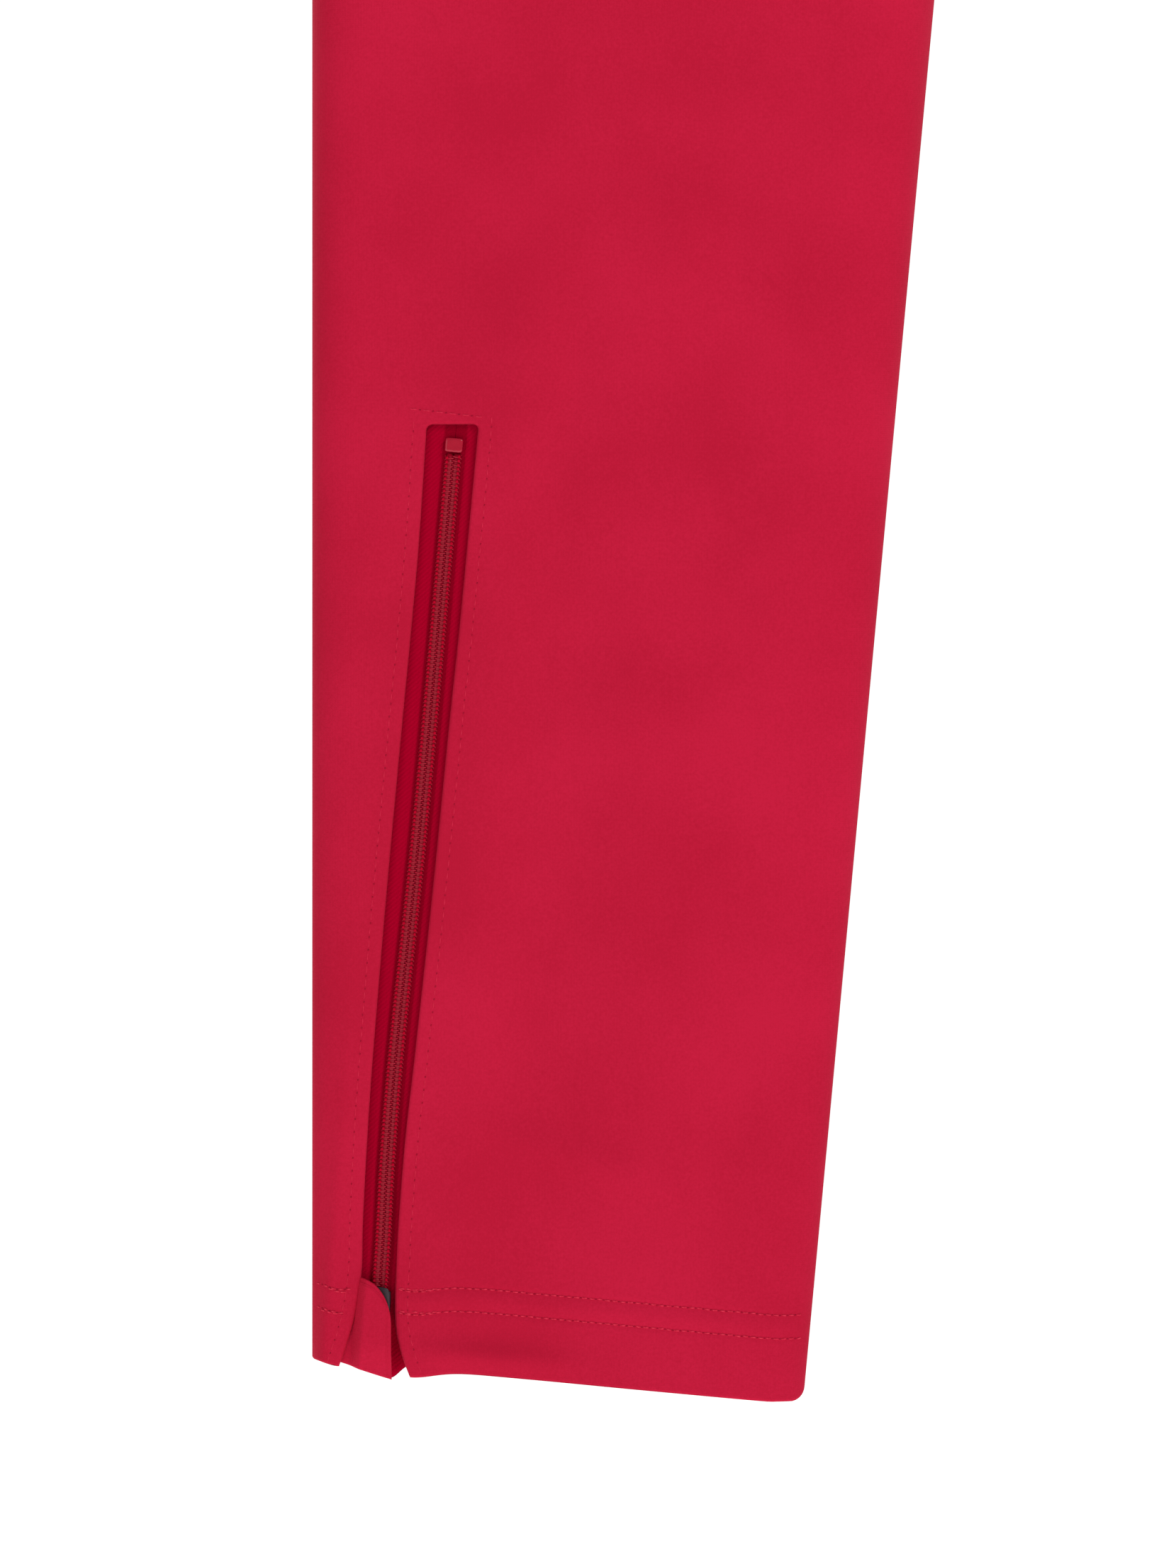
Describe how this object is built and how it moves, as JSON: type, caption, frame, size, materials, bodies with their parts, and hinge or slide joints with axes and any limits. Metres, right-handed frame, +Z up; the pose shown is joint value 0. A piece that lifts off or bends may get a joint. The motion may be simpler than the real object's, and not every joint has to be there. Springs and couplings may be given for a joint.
{
  "type": "training trousers",
  "caption": "Full-length sports trousers with an elastic waist, tapered legs and a coil zip let into the front of each ankle under a soft garage flap.",
  "frame": {"origin": "middle of the waist opening, level with the waistband's top edge", "axes": "+Z up out of the waist, +X to the wearer's left leg, -Y to the wearer's front"},
  "size_m": [0.5732, 0.1202, 1.05],
  "materials": {
    "knit": "matt crimson polyester interlock knit",
    "zip_tape": "woven herringbone polyester tape, dark red",
    "zip_coil": "drawn nylon monofilament, red",
    "zip_stop": "red enamel on pressed metal",
    "slider_metal": "gunmetal on cast zinc",
    "elastic": "woven elastic webbing, off-white",
    "label_satin": "blank white satin"
  },
  "bodies": {
    "garment": {"front_leg_panel_left": "knit", "back_leg_panel_left": "knit", "zip_tape_inner_left": "zip_tape", "zip_tape_outer_left": "zip_tape", "zip_coil_inner_left": "zip_coil", "zip_coil_outer_left": "zip_coil", "zip_bottom_stop_left": "zip_stop", "zip_top_stop_inner_left": "zip_stop", "zip_top_stop_outer_left": "zip_stop", "zip_garage_flap_left": "knit", "drawcord_eyelet_left": "slider_metal", "front_leg_panel_right": "knit", "back_leg_panel_right": "knit", "zip_tape_inner_right": "zip_tape", "zip_tape_outer_right": "zip_tape", "zip_coil_inner_right": "zip_coil", "zip_coil_outer_right": "zip_coil", "zip_bottom_stop_right": "zip_stop", "zip_top_stop_inner_right": "zip_stop", "zip_top_stop_outer_right": "zip_stop", "zip_garage_flap_right": "knit", "drawcord_eyelet_right": "slider_metal", "waistband": "knit", "waist_elastic": "elastic", "care_label": "label_satin"},
    "slider_left": {"zip_slider_left": "slider_metal"},
    "puller_left": {"zip_puller_left": "slider_metal"},
    "slider_right": {"zip_slider_right": "slider_metal"},
    "puller_right": {"zip_puller_right": "slider_metal"}
  },
  "joints": [
    {"name": "zip_slide_left", "type": "slide", "parent": "garment", "child": "slider_left", "axis": [0.0887, -0.0244, 0.9958], "range_m": [0, 0.283]},
    {"name": "puller_swing_left", "type": "hinge", "parent": "slider_left", "child": "puller_left", "pos_m": [0.07943, -0.01219, -1.01615], "axis": [-0.9922, 0.0853, 0.0905], "range_deg": [0, 170], "deforming": ["zip_garage_flap_left"]},
    {"name": "zip_slide_right", "type": "slide", "parent": "garment", "child": "slider_right", "axis": [-0.0887, -0.0244, 0.9958], "range_m": [0, 0.283]},
    {"name": "puller_swing_right", "type": "hinge", "parent": "slider_right", "child": "puller_right", "pos_m": [-0.07943, -0.01219, -1.01615], "axis": [-0.9922, -0.0853, -0.0905], "range_deg": [0, 170], "deforming": ["zip_garage_flap_right"]}
  ]
}
